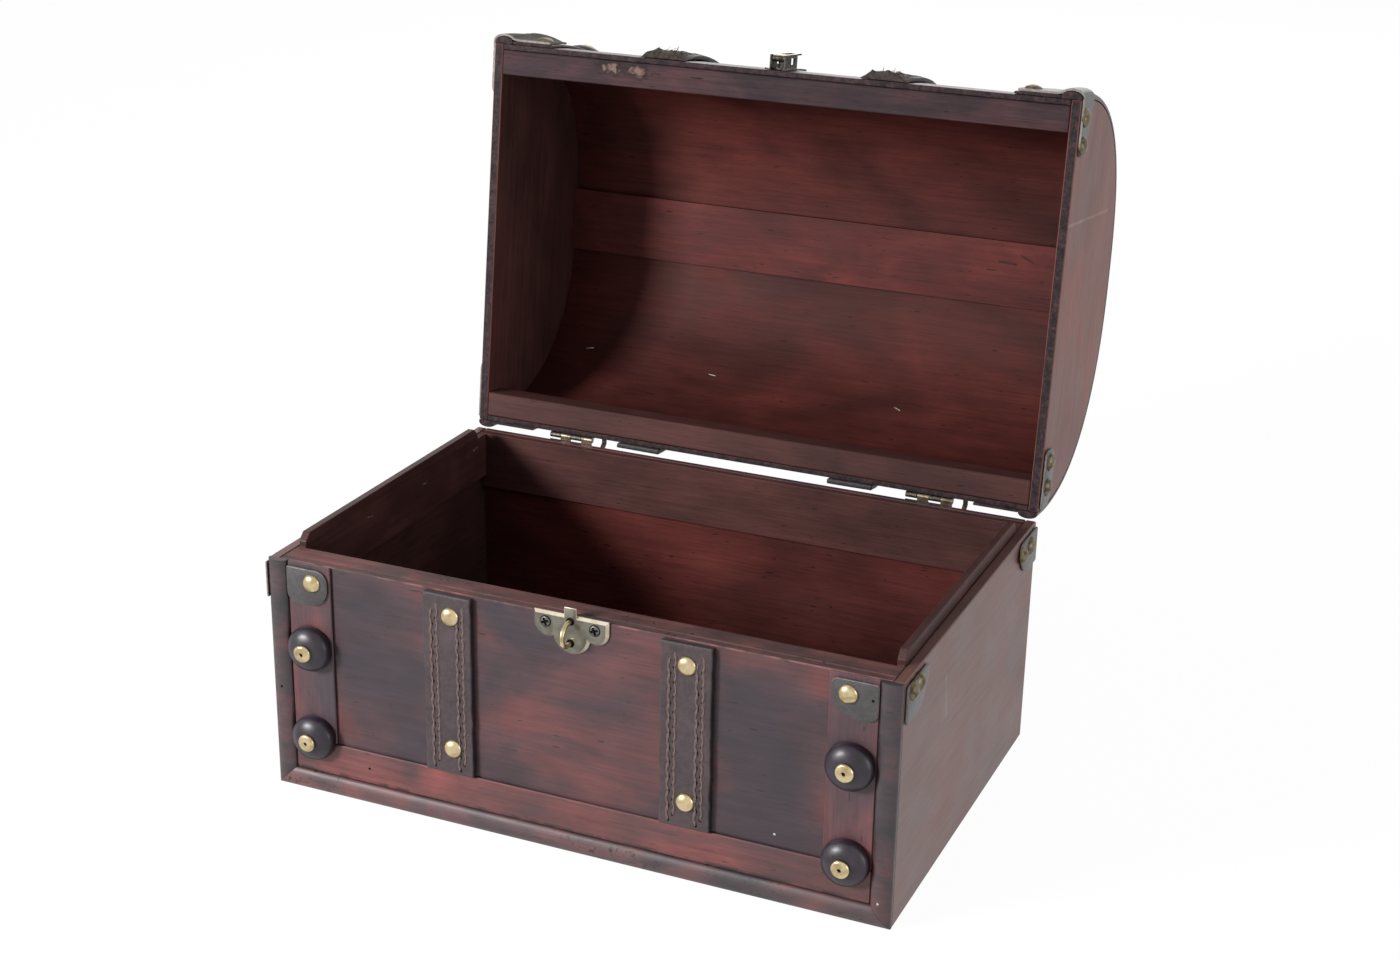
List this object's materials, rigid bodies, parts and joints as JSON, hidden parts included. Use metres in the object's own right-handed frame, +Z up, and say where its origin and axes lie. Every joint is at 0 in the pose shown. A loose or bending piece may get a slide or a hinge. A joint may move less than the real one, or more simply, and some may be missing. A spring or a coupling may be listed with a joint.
{
  "type": "treasure chest",
  "caption": "Small plywood treasure chest with a round-topped lid on butt hinges, leather straps and corner patches, wooden knobs, and a hinged hasp that closes over a staple.",
  "frame": {"origin": "middle of the chest's underside, on the floor", "axes": "+Z up, the front with the staple faces -Y, +X to the viewer's right; the lid stands open"},
  "size_m": [0.3582, 0.3751, 0.3742],
  "materials": {
    "stained_plywood": "mahogany-stained plywood, worn, low sheen",
    "stained_batten": "red-brown stained solid battens, low sheen",
    "stained_bead": "dark grey-brown stained half-round moulding",
    "black_leather": "charcoal leather with a fine grain",
    "black_lacquer": "turned wood in glossy black lacquer",
    "latch_brass": "pale brass plate, satin",
    "hinge_brass": "dulled brass plate",
    "pin_steel": "plain drawn steel"
  },
  "bodies": {
    "base": {"bottom_board": "stained_plywood", "front_board": "stained_plywood", "back_board": "stained_plywood", "front_top_batten": "stained_batten", "back_top_rail": "stained_batten", "bottom_bead": "stained_bead", "front_bottom_rail": "stained_plywood", "staple_plate": "latch_brass", "staple": "latch_brass", "left_side_board": "stained_plywood", "right_side_board": "stained_plywood", "left_lip_board": "stained_batten", "right_lip_board": "stained_batten", "left_corner_bead": "stained_bead", "right_corner_bead": "stained_bead", "left_front_stile": "stained_plywood", "right_front_stile": "stained_plywood", "left_front_strap": "black_leather", "right_front_strap": "black_leather", "left_front_patch": "black_leather", "right_front_patch": "black_leather", "left_side_front_patch": "black_leather", "right_side_front_patch": "black_leather", "left_side_back_patch": "black_leather", "right_side_back_patch": "black_leather", "left_upper_knob": "black_lacquer", "right_upper_knob": "black_lacquer", "left_lower_knob": "black_lacquer", "right_lower_knob": "black_lacquer", "left_hinge_body_leaf": "hinge_brass", "right_hinge_body_leaf": "hinge_brass", "left_hinge_pin": "pin_steel", "right_hinge_pin": "pin_steel", "left_lid_stop": "hinge_brass", "right_lid_stop": "hinge_brass"},
    "lid": {"lid_skin": "stained_plywood", "lid_front_rail": "stained_batten", "lid_back_rail": "stained_batten", "lid_crown_batten": "stained_batten", "hasp_plate": "latch_brass", "hasp_pin": "pin_steel", "left_lid_end": "stained_plywood", "right_lid_end": "stained_plywood", "left_lid_bead": "stained_bead", "right_lid_bead": "stained_bead", "left_lid_band": "stained_plywood", "right_lid_band": "stained_plywood", "left_lid_strap": "black_leather", "right_lid_strap": "black_leather", "left_lid_corner_patch": "black_leather", "right_lid_corner_patch": "black_leather", "left_lid_end_back_patch": "black_leather", "right_lid_end_back_patch": "black_leather", "left_lid_knob": "black_lacquer", "right_lid_knob": "black_lacquer", "left_hinge_lid_leaf": "hinge_brass", "right_hinge_lid_leaf": "hinge_brass"},
    "hasp": {"hasp_flap": "latch_brass"}
  },
  "joints": [
    {"name": "lid_hinge", "type": "hinge", "parent": "base", "child": "lid", "pos_m": [0, 0.1155, 0.1365], "axis": [1, 0, 0], "range_deg": [0, 97]},
    {"name": "hasp_hinge", "type": "hinge", "parent": "lid", "child": "hasp", "pos_m": [0.0016, 0.14732, 0.37188], "axis": [1, 0, 0], "range_deg": [0, 184]}
  ]
}
